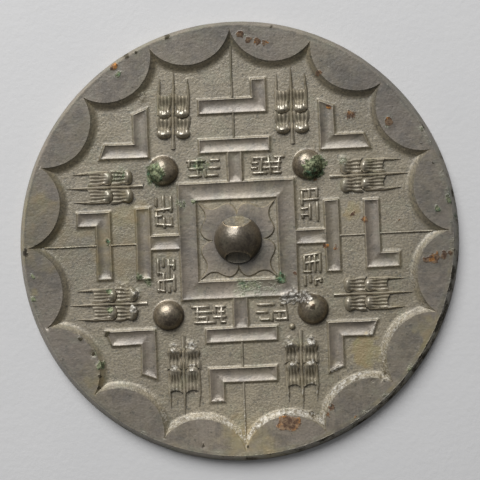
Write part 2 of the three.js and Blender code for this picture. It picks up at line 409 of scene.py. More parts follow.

# %% [markdown]
# ## Quatrefoil
# Four pointed petals lie under the knob. Each is a low plate, bulging beside each axis and
# drawn in to a point on the diagonal. One half of one outline is drawn as a few points, a
# smooth curve is run through them and mirrored in the diagonal. Three loops of that outline,
# joined by bridges, make a plate with a sloping wall.

# %% Petals
PETAL_RISE = 0.45
PETAL_WALL = 0.42               # run of the small wall around a petal
PETAL_HALF = [(8.3, 0.15), (9.6, 0.62), (10.75, 1.55), (11.35, 3.0), (10.9, 4.7),
              (10.05, 6.3), (9.75, 7.8), (10.2, 9.7), (11.8, 11.8)]
CURVE_PIECES = 3                # pieces of the curve between two drawn points


def smooth_line(points, pieces):
    """Points of a curve that passes through every given point."""
    line = []
    ends = [points[0]] + points + [points[-1]]
    for a, b, c, d in zip(ends, ends[1:], ends[2:], ends[3:]):
        for i in range(pieces):
            t = i / pieces
            line.append(tuple(
                0.5 * (2 * q + (r - p) * t + (2 * p - 5 * q + 4 * r - s) * t * t
                       + (3 * q - p - 3 * r + s) * t ** 3)
                for p, q, r, s in zip(a, b, c, d)))
    return line + [points[-1]]


def swollen(corners, distance):
    """Moves each point of a counter-clockwise outline outward, even at sharp tips."""
    moved = []
    neighbours = zip(corners[-1:] + corners[:-1], corners, corners[1:] + corners[:1])
    for (last_x, last_y), (x, y), (next_x, next_y) in neighbours:
        out = Vector((next_y - last_y, last_x - next_x)).normalized() * distance
        moved.append((x + out.x, y + out.y))
    return moved


half = smooth_line(PETAL_HALF, CURVE_PIECES)
outline = [(0, 0)] + half + [(y, x) for x, y in reversed(half[:-1])]
petal = bmesh.new()
loops = [outline_loop(petal, swollen(outline, PETAL_WALL), GROUND - SINK),
         outline_loop(petal, swollen(outline, PETAL_WALL), GROUND),
         outline_loop(petal, outline, GROUND + PETAL_RISE)]
bmesh.ops.contextual_create(petal, geom=loops[0])
for low, high in zip(loops, loops[1:]):
    bmesh.ops.bridge_loops(petal, edges=low + high)
lid = bmesh.ops.contextual_create(petal, geom=loops[2])["faces"]
for face in lid:
    face.material_index = SMOOTH_FINISH
bmesh.ops.recalc_face_normals(petal, faces=petal.faces)
keep(four_sides(petal), "petals")

# %% Round middle of the petals, under the knob
CORE_FOOT, CORE_TOP = 8.1, 7.9
core = spun([(0, GROUND - SINK), (CORE_FOOT, GROUND - SINK), (CORE_FOOT, GROUND),
             (CORE_TOP, GROUND + PETAL_RISE), (0, GROUND + PETAL_RISE)], steps=72)
for face in core.faces:
    face.material_index = SMOOTH_FINISH
keep(core, "petal_core")

# %% [markdown]
# ## Leaf sprays
# Eight sprays stand on the ground, two on each side of the square. Each has a stem,
# two tiers of paired leaves and three long points. A leaf is a small grid: its rows
# run from the round bulb near the knob to the outer end, its columns follow four
# fine ridges. Moving the grid's points to a height formula shapes bulb and ridges
# in one go. The carver of the mould placed every spray by hand, so each one is a
# touch off its true place, and the left one at the top leans.

# %% One leaf
RIDGES = 4
ACROSS, ALONG = 4 * RIDGES, 15  # cells of the grid
CROWD = 1.3                     # the rows stand closer together at the bulb
VEIN = 0.25                     # half the depth of the grooves between ridges
BULB = 2.3                      # length of the round bulb
BULB_END = 0.52                 # share of a leaf's length where the bulb has run out
FOOT_HEIGHT = 0.25              # height at the bulb's tip
WAIST, WAIST_SPREAD = 0.22, 0.15      # the leaf narrows behind its bulb
LIFT, LIFT_AT, LIFT_SPREAD = 0.35, 0.86, 0.14      # the outer end curls up a little
SCALLOP, SCALLOP_FROM = 0.9, 0.6                   # the outer edge is hollowed


def leaf(x, start, end, width, high, low):
    """A leaf from start to end, beside the spray's middle line by x."""
    bm = bmesh.new()
    bmesh.ops.create_grid(bm, x_segments=ACROSS, y_segments=ALONG, size=1)
    bulb = BULB / (end - start)
    # t runs across and s along; rise lifts the bulb, fall takes it down to the flat part.
    for v in bm.verts:
        t, s = v.co.x, ((v.co.y + 1) / 2) ** CROWD
        open_up = min(1.0, s / bulb)
        waist = WAIST * math.exp(-((s - bulb * 1.3) / WAIST_SPREAD) ** 2)
        half_width = width / 2 * (0.2 + 0.8 * math.sqrt(1 - (1 - open_up) ** 2) - waist)
        rise = math.sin(min(1.0, s / (bulb * 0.7)) * TURN / 4) ** 0.55
        fall = min(1.0, max(0.0, (s - bulb * 0.6) / (BULB_END - bulb * 0.6)))
        height = (FOOT_HEIGHT + (high - FOOT_HEIGHT) * rise * (1 - fall)
                  + (low - FOOT_HEIGHT) * fall)
        height += LIFT * math.exp(-((s - LIFT_AT) / LIFT_SPREAD) ** 2)
        crown = 1 - 0.5 * t * t * (1 - fall) - 0.15 * t * t
        vein = math.cos(TURN * RIDGES / 2 * (t - 1 / RIDGES))
        vein *= min(1.0, max(0.0, fall - 0.12) * 2.4)
        hollow = SCALLOP * (t * t - 0.6) * max(0.0, s - SCALLOP_FROM) / (1 - SCALLOP_FROM)
        v.co = (x + t * half_width, start + s * (end - start) + hollow,
                GROUND + height * crown + VEIN * vein)
    for face in bm.faces:
        face.material_index = LEAF_FINISH
    close_below(bm, GROUND - SINK)
    return bm


# %% Ribs
RIB_SINK = 0.02                 # a rib's edges lie this far under the ground


def rib(stations, across=4, rows=3):
    """A rounded ridge through (x, y, half width, height) stations."""
    bm = bmesh.new()
    spans = len(stations) - 1
    bmesh.ops.create_grid(bm, x_segments=across, y_segments=rows * spans, size=1)
    for v in bm.verts:
        at = (v.co.y + 1) / 2 * spans
        i = min(int(at), spans - 1)
        x, y, wide, high = (a + (b - a) * (at - i)
                            for a, b in zip(stations[i], stations[i + 1]))
        run = Vector(stations[i + 1][:2]) - Vector(stations[i][:2])
        side = Vector((run.y, -run.x)).normalized() * v.co.x * wide
        v.co = (x + side.x, y + side.y, GROUND + high * (1 - v.co.x ** 2) - RIB_SINK)
    for face in bm.faces:
        face.material_index = LEAF_FINISH
    close_below(bm, GROUND - SINK)
    return bm


def merged(shapes):
    """Puts several separate solids in one mesh."""
    whole = bmesh.new()
    for bm in shapes:
        mesh = bpy.data.meshes.new("one_shape")
        bm.to_mesh(mesh)
        bm.free()
        whole.from_mesh(mesh)
        bpy.data.meshes.remove(mesh)
    return whole


def placed(bm, place):
    bmesh.ops.transform(bm, matrix=place, verts=bm.verts)
    return bm


# %% Places of the sprays
SPRAY_AT = 18.5                 # beside the middle of a side
SPRAY_MIDDLE = Vector((0, 42, 0))
LEAN_LIMIT, ASIDE_LIMIT, ALONG_LIMIT = 0.5, 0.15, 0.2      # degrees, millimetres
LEANING_SPRAY = (0, -1)         # quarter and side of the one that leans
LEANING_BY, LEANING_AT = -2.3, -18.7      # degrees, its place beside the middle
hand = random.Random(7)
spray_places = []
for quarter in range(4):
    for side in (-1, 1):
        lean = math.radians(hand.uniform(-LEAN_LIMIT, LEAN_LIMIT))
        shift = Vector((side * SPRAY_AT + hand.uniform(-ASIDE_LIMIT, ASIDE_LIMIT),
                        hand.uniform(-ALONG_LIMIT, ALONG_LIMIT), 0))
        if (quarter, side) == LEANING_SPRAY:
            lean, shift = math.radians(LEANING_BY), Vector((LEANING_AT, 0, 0))
        spray_places.append(Matrix.Rotation(quarter * TURN / 4, 4, "Z")
                            @ Matrix.Translation(shift + SPRAY_MIDDLE)
                            @ Matrix.Rotation(lean, 4, "Z")
                            @ Matrix.Translation(-SPRAY_MIDDLE))
print("sprays:", len(spray_places))

# %% Leaves, stems and points
# Start, end, width, place aside, height of the bulb, height of the flat part.
INNER_TIER = (32.6, 39.4, 4.9, 2.95, 2.35, 0.55)
OUTER_TIER = (38.9, 46.6, 4.4, 2.75, 2.05, 0.65)
for name, (start, end, width, aside, high, low) in {"inner_leaves": INNER_TIER,
                                                    "outer_leaves": OUTER_TIER}.items():
    leaves = [placed(leaf(way * aside, start, end, width, high, low), place)
              for place in spray_places for way in (-1, 1)]
    keep(merged(leaves), name)
STEM = [(0, 29.4, 0.85, 0.75), (0, 33.0, 0.6, 0.85), (0, 40.0, 0.5, 1.0),
        (0, 46.5, 0.62, 1.0), (0, 50.0, 0.42, 0.8), (0, 53.8, 0.14, 0.28)]
keep(merged([placed(rib(STEM), place) for place in spray_places]), "stems")
POINT = [(4.75, 40.2, 0.42, 0.9), (4.7, 46.3, 0.62, 0.95), (4.5, 49.0, 0.42, 0.75),
         (4.4, 51.6, 0.13, 0.24)]
points = [placed(rib([(way * x, y, wide, high) for x, y, wide, high in POINT]), place)
          for place in spray_places for way in (-1, 1)]
keep(merged(points), "points")

# %% [markdown]
# ## Lines and rows of strokes
# A thin line joins each T to its L, and another runs on from the L to the rim. Where
# the old casting has raised writing, this one has rows of plain short strokes: long
# bars along the side of the square and short teeth across them, in no script. A rib
# with two raised stations between two low ends already is such a stroke.

# %% Thin lines
LINE_HALF, LINE_HEIGHT = 0.42, 0.5
INNER_LINE, OUTER_LINE = (31.6, 40.6, 9), (44.3, 61.0, 16)      # from, to, rows of cells
lines = [rib([(0, start, LINE_HALF, LINE_HEIGHT), (0, end, LINE_HALF, LINE_HEIGHT)], rows=rows)
         for start, end, rows in (INNER_LINE, OUTER_LINE)]
keep(four_sides(merged(lines)), "lines")

# %% Rows of strokes
BLOCK_AT, BLOCK_NEAR, BLOCK_FAR = 10.1, 20.3, 25.7      # a block's middle, near and far row
BLOCK_HALF = 5.6                # half a block's width
RAGGED_ENDS = 1.4               # rows end this much short of it at most
SPLIT_EDGE, SPLIT_HALF = 2.2, 0.7      # where a row may be split, half the gap
TOOTH_FIRST, TOOTH_STEP, TOOTH_STRAY = 4.4, 2.6, 0.4
TOOTH_PAST, TOOTH_SHORT = 0.3, 2.7     # teeth pass the rows; short ones are this long
SHORT_SHARE = 0.6               # share of the teeth that are short
BAR_HALF, BAR_HEIGHT = 0.62, 0.78
BAR_END_HALF, BAR_END_HEIGHT = BAR_HALF * 0.8, 0.35


def bar(x0, y0, x1, y1):
    """One stroke, low and narrow at both ends."""
    stations = [(x0, y0, BAR_END_HALF, BAR_END_HEIGHT)]
    for near_end in (0.12, 0.88):
        stations.append((x0 + (x1 - x0) * near_end, y0 + (y1 - y0) * near_end,
                         BAR_HALF, BAR_HEIGHT))
    return rib(stations + [(x1, y1, BAR_END_HALF, BAR_END_HEIGHT)], across=6)


bars, teeth = [], []
for quarter in range(4):
    for side in (-1, 1):
        place = Matrix.Rotation(quarter * TURN / 4, 4, "Z")
        middle = side * BLOCK_AT
        rows = hand.choice((3, 4))
        for row in range(rows):
            y = BLOCK_NEAR + (BLOCK_FAR - BLOCK_NEAR) * (row + 0.15) / (rows - 0.7)
            left = middle - BLOCK_HALF + hand.uniform(0, RAGGED_ENDS)
            right = middle + BLOCK_HALF - hand.uniform(0, RAGGED_ENDS)
            split = hand.uniform(left + SPLIT_EDGE, right - SPLIT_EDGE)
            bars.append(placed(bar(left, y, split - SPLIT_HALF, y), place))
            bars.append(placed(bar(split + SPLIT_HALF, y, right, y), place))
        for i in range(hand.choice((3, 4))):
            x = middle - TOOTH_FIRST + TOOTH_STEP * i + hand.uniform(-TOOTH_STRAY, TOOTH_STRAY)
            low, high = BLOCK_NEAR - TOOTH_PAST, BLOCK_FAR + TOOTH_PAST
            if hand.random() < SHORT_SHARE:
                low, high = hand.choice(((low, low + TOOTH_SHORT), (high - TOOTH_SHORT, high)))
            slant = hand.uniform(-TOOTH_STRAY, TOOTH_STRAY)
            teeth.append(placed(bar(x - slant, low, x + slant, high), place))
keep(merged(bars), "stroke_bars")
keep(merged(teeth), "stroke_teeth")

# %% [markdown]
# ## A pellet, and joining the relief
# A stray drop of metal froze beside one boss; it is a small ball, half in the ground.
# Then everything is joined to the plate, because the real thing is one casting. A
# union leaves one closed skin, with no hidden walls where parts cross.

# %% Stray pellet
PELLET_R, PELLET_AT = 0.95, (15.9, -27.9, GROUND + 0.25)
pellet = bmesh.new()
bmesh.ops.create_uvsphere(pellet, u_segments=24, v_segments=16, radius=PELLET_R,
                          matrix=Matrix.Translation(PELLET_AT))
keep(pellet, "pellet")

# %% Join the relief to the plate
combined(casting, "UNION", parts)

# %% [markdown]
# ## The cord hole
# A cord once ran through the knob, from the top side to the bottom side. The hole is
# an arch: half a cylinder on two straight sides, above a low sill, so that the knob's
# foot stays round. The cord has worn both mouths wide. Each wide mouth is a stretched
# ball, cut flat at the sill and taken out of the knob together with the arch.

# %% Arch of the hole
HOLE_HALF, HOLE_WALL, HOLE_TOP = 3.2, 2.4, 5.6      # half width, straight part, top
SILL = 0.85                     # the knob's foot runs on below the hole's mouths
FLOOR_Z = GROUND + PETAL_RISE + SILL
ARCH_REACH = 10                 # the cutting arch stands out of the knob at both ends
arch = bmesh.new()
bmesh.ops.create_circle(arch, segments=32, radius=HOLE_HALF)
for v in arch.verts:
    v.co = (v.co.x, -ARCH_REACH,
            GROUND + HOLE_WALL + v.co.y * (HOLE_TOP - HOLE_WALL) / HOLE_HALF
            if v.co.y > 0 else FLOOR_Z)
bmesh.ops.remove_doubles(arch, verts=arch.verts, dist=WELD)
bmesh.ops.contextual_create(arch, geom=arch.edges[:])
made = bmesh.ops.extrude_face_region(arch, geom=arch.faces[:], use_keep_orig=True)["geom"]
bmesh.ops.translate(arch, verts=[g for g in made if isinstance(g, bmesh.types.BMVert)],
                    vec=(0, 2 * ARCH_REACH, 0))
bmesh.ops.recalc_face_normals(arch, faces=arch.faces)
keep(arch, "arch", tools)

# %% Worn mouths
MOUTHS = [((0, 7.0, GROUND + 3.0), (4.5, 4.2, 5.7)),      # centre, half sizes
          ((0, -5.5, GROUND + 2.4), (4.0, 2.8, 4.4))]
mouths = bmesh.new()
for centre, half_sizes in MOUTHS:
    place = Matrix.Translation(centre) @ Matrix.Diagonal((*half_sizes, 1))
    bmesh.ops.create_uvsphere(mouths, u_segments=48, v_segments=32, radius=1, matrix=place)
bmesh.ops.bisect_plane(mouths, geom=mouths.verts[:] + mouths.edges[:] + mouths.faces[:],
                       plane_co=(0, 0, FLOOR_Z), plane_no=(0, 0, -1), clear_outer=True)
bmesh.ops.holes_fill(mouths, edges=[e for e in mouths.edges if e.is_boundary], sides=0)
bmesh.ops.recalc_face_normals(mouths, faces=mouths.faces)
keep(mouths, "mouths", tools)
combined(casting, "DIFFERENCE", tools)

# %% [markdown]
# ## Where time has marked it
# Two thousand years of damp ground leave their traces in places, not everywhere. Each
# mark below is a round patch on the back: its place, its radius, its strength and its
# lift. The strength goes into a colour attribute that the finish reads, the lift makes
# crust or pits. Painting by hand would look freer, but a list can be read and changed.

# %% Verdigris and rust
VERDIGRIS = [(25.0, 21.1, 3.5, 1.3, 0.25), (23.5, 19.4, 2.0, 1.2, 0.2),
             (26.8, 23.0, 2.3, 1.1, 0.2), (-25.0, 21.6, 3.8, 0.85, 0.12),
             (-24.9, 25.2, 1.6, 0.4, 0), (13.0, -12.8, 1.8, 1.1, 0.3),
             (10.6, -15.4, 3.0, 0.42, 0.08), (5.5, -15.6, 3.4, 0.4, 0.05),
             (0.8, -15.0, 2.8, 0.4, 0), (-17.7, 11.7, 1.8, 0.55, 0),
             (-13.2, 12.5, 1.0, 0.6, 0), (-41.0, -20.3, 1.1, 1.0, 0.3),
             (-41.1, -14.5, 1.0, 0.9, 0.2), (-36.8, 22.1, 3.0, 0.45, 0),
             (-10.9, 23.9, 3.4, 0.5, 0), (34.1, 23.5, 1.8, 0.5, 0.1),
             (-31.6, -10.4, 1.4, 0.6, 0), (-40.9, 0.9, 1.2, 0.6, 0),
             (-28.5, -12.0, 1.5, 0.6, 0.1), (-44.5, -37.4, 1.6, 0.8, 0.35),
             (-46.4, -33.8, 0.9, 0.5, -0.3), (-35.5, 53.6, 1.1, 0.7, 0.2),
             (-65.2, -8.1, 0.9, 0.8, 0.1), (-65.0, -16.2, 0.9, 0.8, 0.1),
             (62.8, 6.6, 1.0, 0.8, 0.15), (66.3, 9.3, 1.2, 0.8, 0.1),
             (58.8, 32.6, 0.9, 0.5, 0.1), (48.2, 33.2, 0.8, 0.5, 0.1),
             (4.9, 64.2, 0.9, 0.4, 0)]
RUST = [(-36.9, 56.2, 1.3, 1.0, 0.15), (3.4, 64.6, 1.3, 0.9, 0.15),
        (6.0, 62.6, 1.0, 1.0, 0.15), (8.6, 61.9, 1.2, 1.0, 0.15),
        (11.2, 61.4, 1.1, 0.7, 0.1), (48.8, 34.6, 1.5, 0.95, 0.15),
        (36.8, 37.7, 2.2, 0.5, 0.05), (30.1, 40.5, 0.8, 1.0, 0.1),
        (27.3, 51.3, 1.6, 0.55, 0), (40.1, 4.6, 1.3, 0.8, 0.05),
        (36.3, 6.6, 0.7, 0.8, 0), (50.6, 3.9, 0.6, 0.6, 0),
        (27.6, -3.0, 1.1, 0.8, 0.05), (30.8, -3.8, 1.0, 0.75, 0.05),
        (17.3, -11.5, 0.9, 0.7, 0.05), (58.9, -9.0, 1.2, 0.9, 0.05),
        (61.4, -8.6, 1.6, 1.0, 0.1), (64.2, -7.9, 1.4, 0.9, 0.1),
        (66.2, -7.0, 0.9, 0.8, 0), (12.7, -57.9, 2.6, 1.0, 0.12),
        (15.4, -58.2, 2.6, 1.0, 0.12), (27.0, -53.6, 1.6, 0.6, -0.1),
        (25.9, -55.9, 1.0, 0.6, -0.1), (40.2, -46.1, 0.8, 0.6, -0.15),
        (34.5, -56.6, 0.8, 0.6, 0), (22.9, -22.1, 1.0, 0.7, -0.12),
        (27.4, 22.6, 1.3, 0.6, 0), (24.9, 18.0, 0.9, 0.5, 0),
        (-9.5, 24.6, 1.6, 0.35, 0)]
print(f"patches of verdigris {len(VERDIGRIS)}, of rust {len(RUST)}")

# %% Ochre earth, dark dirt and crust
OCHRE = [(-62.0, 6.0, 17.0, 0.62, 0), (-60.8, 14.0, 4.2, 0.85, 0),
         (-64.6, 7.4, 0.9, 1.0, 0.1), (-64.7, -14.0, 1.8, 0.8, 0),
         (-35.2, 9.1, 5.5, 0.75, 0), (-35.1, -6.2, 5.5, 0.6, 0),
         (-34.0, 1.0, 16.0, 0.58, 0), (0.3, 6.3, 2.4, 0.6, 0),
         (-25.0, 31.3, 2.6, 0.45, 0), (-10.1, 10.2, 1.3, 0.4, 0),
         (-24.6, -12.7, 1.5, 0.7, 0), (36.2, 7.6, 3.8, 0.9, 0),
         (38.1, -36.6, 6.0, 1.0, 0), (49.5, -22.1, 3.4, 0.45, 0),
         (58.9, -27.4, 2.2, 0.8, 0), (-21.8, 3.0, 2.5, 0.4, 0),
         (-29.9, 12.8, 3.0, 0.5, 0), (-47, -40, 6.0, 0.6, 0),
         (28.0, -38.0, 5.0, 0.5, 0), (58.0, -30.0, 5.0, 0.6, 0),
         (0, -62, 12.0, 0.5, 0)]
DARK = [(-33.1, 59.2, 1.3, 0.8, 0.1), (-29.9, 60.2, 0.9, 0.7, 0.1),
        (-19.7, 64.9, 1.2, 0.9, 0.3), (-44.9, -41.0, 0.9, 0.7, 0.1),
        (-45.3, -44.6, 0.8, 0.6, 0), (-50.5, -28.9, 0.9, 0.8, 0.25),
        (-46.9, -33.8, 1.0, 0.7, -0.35), (-42.3, -27.9, 1.2, 0.8, 0.1),
        (-67.2, -0.8, 1.2, 0.8, 0), (-63.8, 1.6, 1.0, 0.6, 0),
        (13.2, 66.4, 0.8, 0.7, 0.1), (26.9, -53.0, 0.7, 0.7, -0.2),
        (20.9, -55.4, 1.0, 0.8, 0.2), (0.7, -65.0, 0.7, 0.8, -0.1),
        (-13.4, -63.9, 0.8, 0.7, -0.2), (62.3, 21.3, 0.7, 0.6, 0),
        (22.9, -22.3, 0.9, 0.9, 0), (24.8, 20.0, 1.5, 0.5, 0),
        (58.4, 27.0, 0.6, 0.6, -0.1), (-57.0, 22.5, 0.6, 0.5, 0)]
CRUST = [(17.0, -18.7, 2.6, 1.0, 0.35), (19.8, -18.8, 2.2, 1.0, 0.4),
         (13.9, -19.2, 2.0, 0.8, 0.3), (21.5, -19.6, 1.6, 0.8, 0.3),
         (-32.7, -15.9, 1.6, 0.7, 0.5), (-33.6, -20.2, 1.6, 0.7, 0.5),
         (-21.6, -33.2, 1.8, 0.7, 0.45), (-15.9, -32.6, 1.8, 0.7, 0.45),
         (-21.6, -39.2, 1.5, 0.6, 0.4), (-15.8, -39.2, 1.5, 0.6, 0.4),
         (14.6, -32.8, 1.8, 0.7, 0.5), (21.6, -32.6, 1.8, 0.7, 0.5),
         (16.0, -39.4, 1.3, 0.6, 0.35), (21.4, -39.2, 1.3, 0.6, 0.35),
         (44.2, -44.8, 1.6, 0.5, -0.5), (-28.6, 46.5, 1.5, 0.4, 0.3),
         (34.0, 23.4, 1.6, 0.5, 0.3), (-36.5, -13.4, 2.4, 0.4, 0.25)]
print(f"patches of earth {len(OCHRE)}, of dirt {len(DARK)}, of crust {len(CRUST)}")

# %% [markdown]
# ## Finding the marks of a place
# Asking every mark about every point would be slow. A table by coarse squares keeps
# the marks that can reach each square, so a point only asks those. Smooth noise makes
# the round patches ragged.

# %% Look marks up
NEAR = 6.0                      # side of the squares of the table
REACH = 1.3                     # a ragged mark may reach this many radii
MARK_END, MARK_FADE = 1.15, 0.6      # where it ends and over how much, in radii
RAGGED, RAGGED_SIZE = 0.5, 1.4
lookup = {}
for kind, patches in enumerate([VERDIGRIS, RUST, OCHRE, DARK, CRUST]):
    for patch in patches:
        x, y, radius = patch[:3]
        reach = int((radius * REACH) // NEAR) + 1
        for i in range(-reach, reach + 1):
            for j in range(-reach, reach + 1):
                spot = (int(x // NEAR) + i, int(y // NEAR) + j)
                lookup.setdefault(spot, []).append((kind, patch))
print("squares with marks:", len(lookup))


def patches_near(x, y):
    return lookup.get((int(x // NEAR), int(y // NEAR)), ())


def marks_at(x, y):
    """Strength of the five kinds of mark at one place, and their lift."""
    strength, lift = [0.0] * 5, 0.0
    for kind, (px, py, radius, amount, height) in patches_near(x, y):
        near = math.hypot(x - px, y - py) / radius
        near += RAGGED * noise.noise(Vector((x, y, 0)) * (RAGGED_SIZE / radius ** 0.5)
                                     + Vector((0, 0, px)))
        if near < MARK_END:
            soft = min(1.0, max(0.0, (MARK_END - near) / MARK_FADE))
            strength[kind] = max(strength[kind], amount * soft)
            lift += height * soft
    return strength, lift


# %% [markdown]
# ## A clean mesh, finer under the crust
# The joins leave a few loose sliver points and many-sided faces, which would fold when
# they are moved, so they go first. Faces inside crusted patches are then divided more
# finely, so that crust and pits are real shape.

# %% Clean the casting
bm = bmesh.new()
bm.from_mesh(casting.data)


def joined_to(start):
    """All points that edges join to one point."""
    found, waiting = {start}, [start]
    while waiting:
        for edge in waiting.pop().link_edges:
            for v in edge.verts:
                if v not in found:
                    found.add(v)
                    waiting.append(v)
    return found


one_piece = joined_to(max(bm.verts, key=lambda v: v.co.z))
slivers = [v for v in bm.verts if v not in one_piece]
bmesh.ops.delete(bm, geom=slivers, context="VERTS")
many_sided = [face for face in bm.faces if len(face.verts) > 4]
bmesh.ops.triangulate(bm, faces=many_sided, quad_method="BEAUTY", ngon_method="BEAUTY")
print(f"{len(slivers)} sliver points removed, {len(many_sided)} many-sided faces cut up")

# %% Divide the crusted faces
CRUST_MARGIN, CRUST_LIFT = 0.5, 0.12      # around a patch; lifts that need finer faces
LONG_EDGE = 0.3                 # shorter edges are left whole


def crusted(face):
    middle = face.calc_center_median()
    if middle.z < GROUND - SINK:
        return False
    return any(math.hypot(middle.x - x, middle.y - y) < radius + CRUST_MARGIN
               and abs(lift) > CRUST_LIFT
               for kind, (x, y, radius, amount, lift) in patches_near(middle.x, middle.y))


rough = {face for face in bm.faces if crusted(face)}
long_edges = [e for e in bm.edges
              if e.calc_length() > LONG_EDGE and rough.intersection(e.link_faces)]
bmesh.ops.subdivide_edges(bm, edges=long_edges, cuts=1, use_grid_fill=True)
bm.normal_update()
bm.verts.index_update()
print("crusted faces:", len(rough), "points:", len(bm.verts))

# %% [markdown]
# ## Worn, uneven and crusted
# Old castings are never quite flat. The skin is moved a few hundredths of a
# millimetre by smooth noise, crust is heaped up and pits are sunk. All relief drifts
# a little from its true place, the troughs are deepest towards their top side, and
# the rim's top falls a little towards the knob. The polished face stays flat, because
# the mirror lies on it, and nothing passes the height and the radius of the frame.

# %% Move the skin
# Waves of noise: height, fineness, place in the noise.
SWELLS = ((0.06, 0.06, 0), (0.045, 0.28, 9), (0.03, 0.6, 33))
GRAIN = ((0.035, 0.95, 20),)
HEAPS, HEAP_BASE = ((0.75, 1.1, 40), (0.5, 2.3, 60)), 0.45
FACE_SKIN = 0.05                # lower points belong to the polished face
GROUND_SKIN = 0.1               # cast grain lies on points up to this above the ground
RELIEF_R, RIM_FROM_R = 56, 50   # marks end inside the first, the rim's top is beyond the second
TROUGH_LOW, TROUGH_HIGH = 0.05, 0.58      # heights above the ground of a trough's points
RIDGE_HEIGHT, TROUGH_PUSH = 0.6, 0.9      # the push grows with the depth under the ridge
DRIFT, DRIFT_FINE, DRIFT_AT = 0.16, 0.11, 50      # size, fineness, place in the noise
DRIFT_MARGIN = 2                # the rim's edge doesn't drift
DRIFT_SEED = 7                  # without one, this noise would differ from run to run
RIM_DEEP, RIM_FALL = 0.3, 0.022      # how deep the rim's top counts, its fall
CALM_TOP = 0.6                  # wear fades out this far below the knob's top


def waves(co, kinds, base=0.0):
    return sum((high * noise.noise(co * fine + UP * place) for high, fine, place in kinds),
               base)


trough = {v.index for v in bm.verts
          if all(face.material_index == SMOOTH_FINISH for face in v.link_faces)
          and math.hypot(v.co.x, v.co.y) > SQUARE_IN}
noise.seed_set(DRIFT_SEED)
for v in bm.verts:
    x, y, z = v.co
    if z < FACE_SKIN:
        continue
    out = math.hypot(x, y)
    lift = marks_at(x, y)[1]
    swell = waves(v.co, SWELLS)
    grain = waves(v.co, GRAIN) if z < GROUND + GROUND_SKIN else 0.0
    in_trough = v.index in trough and TROUGH_LOW + GROUND < z < TROUGH_HIGH + GROUND
    if in_trough and out < RELIEF_R:
        v.co.y += TROUGH_PUSH * (GROUND + RIDGE_HEIGHT - z)
    if out < RIM_R - DRIFT_MARGIN:
        drift = noise.noise_vector(Vector((x, y, DRIFT_AT)) * DRIFT_FINE) * DRIFT
        v.co += Vector((drift.x, drift.y, 0))
    if z > RIM - RIM_DEEP and out > RIM_FROM_R:
        v.co.z -= RIM_FALL * max(0.0, RIM_R - out)
    heap = lift * waves(v.co, HEAPS, HEAP_BASE)
    v.co += v.normal * (swell + grain + heap) * min(1.0, (KNOB_TOP - z) / CALM_TOP)
    out_now = math.hypot(v.co.x, v.co.y)
    if out_now > FACE_R:
        v.co.xy *= FACE_R / out_now
    v.co.z = min(max(v.co.z, 0.0), KNOB_TOP)
print("highest point in millimetres:", round(max(v.co.z for v in bm.verts), 3))

# %% Give each face its finish
FACE_FLAT = 0.01                # faces this low are the polished face
RIM_TOP_DEEP = 0.6              # the leaning top of the rim lies within this of its edge
LEVEL = 0.97                    # upward part of a nearly level face's normal
SIDE_FROM = 0.4                 # the leaning side's finish begins this far in
SHARP = math.radians(42)
bm.normal_update()
for face in bm.faces:
    face.smooth = True
    middle = face.calc_center_median()
    out = math.hypot(middle.x, middle.y)
    rim_top = (out > RIM_FROM_R and face.normal.z > LEVEL
               and middle.z > RIM - RIM_TOP_DEEP)
    if middle.z < FACE_FLAT:
        face.material_index = FACE_FINISH
    elif out > RIM_R - SIDE_FROM or rim_top:
        face.material_index = SMOOTH_FINISH
bm.to_mesh(casting.data)
bm.free()
casting.data.set_sharp_from_angle(angle=SHARP)
print("points after wear:", len(casting.data.vertices))

# %% [markdown]
# ## Lighter, darker and stained places
# Old metal is darkest in hollows, where grime stays, and brightest on edges, where it is
# rubbed; the same marks also paint the shade that falls in the hollows and a highlight on the
# edges. How steeply the skin climbs away from a point tells the two apart, which is quicker
# than measuring shadows. Broad soft areas and the rim's edge are added as listed, and they hold
# more painted light: a sheen inside the square, shade on the knob and in its lower mouth, a
# highlight on the lips of the hole, light on the rim's walls and side that face the lamp, and
# shade on the side that faces away. All of it is stored in three attributes of the mesh: the
# stains, which also hold the shade on the side, the crust, which also holds the light on the
# walls, and the tone.

# %% Broad areas
# x, y, radius, how much lighter or darker.
# Among them is painted light: a sheen inside the square's upper side at (1, 11.8) and (-9,
# 11.4), painted shade on the knob at (0, 0) and in its lower mouth at (0.3, -6.2).
BROAD_TONES_AND_LIGHT = [(0, 66, 14, -0.26), (47, 47, 16, -0.34), (0, -66, 20, 0.6), (64, 0, 14, -0.20),
         (45, -45, 18, 0.10), (-45, 45, 18, -0.08), (1, 11.8, 3.6, 0.45),
         (-9, 11.4, 2.6, 0.35), (0, 15.5, 8, 0.16), (0, -16.5, 8, 0.40), (-62, 3, 14, -0.34),
         (-38, 0, 15, -0.16), (0, 0, 7.4, -0.42), (0.3, -6.2, 2.3, -0.66), (9, 9, 4, 0.1)]


def broad_tone_and_light_at(x, y):
    return 1 + sum(amount * math.exp(-((x - px) ** 2 + (y - py) ** 2) / radius ** 2)
                   for px, py, radius, amount in BROAD_TONES_AND_LIGHT)


print("tone at the middle and at the lower rim:", round(broad_tone_and_light_at(0, 0), 2),
      round(broad_tone_and_light_at(0, -RIM_R), 2))

# %% Hollows and edges
SHORTEST = 0.08                 # shorter edges would make the climb look too steep


def climbs_around(mesh):
    """How much the skin climbs away from each point: hollows plus, edges minus."""
    climbs = [0.0] * len(mesh.vertices)
    for edge in mesh.edges:
        a, b = (mesh.vertices[i] for i in edge.vertices)
        steep = (b.co.z - a.co.z) / max((b.co - a.co).length, SHORTEST)
        climbs[a.index] += steep
        climbs[b.index] -= steep
    return climbs


climbs = climbs_around(casting.data)
print(f"climbs from {min(climbs):.1f} to {max(climbs):.1f}")

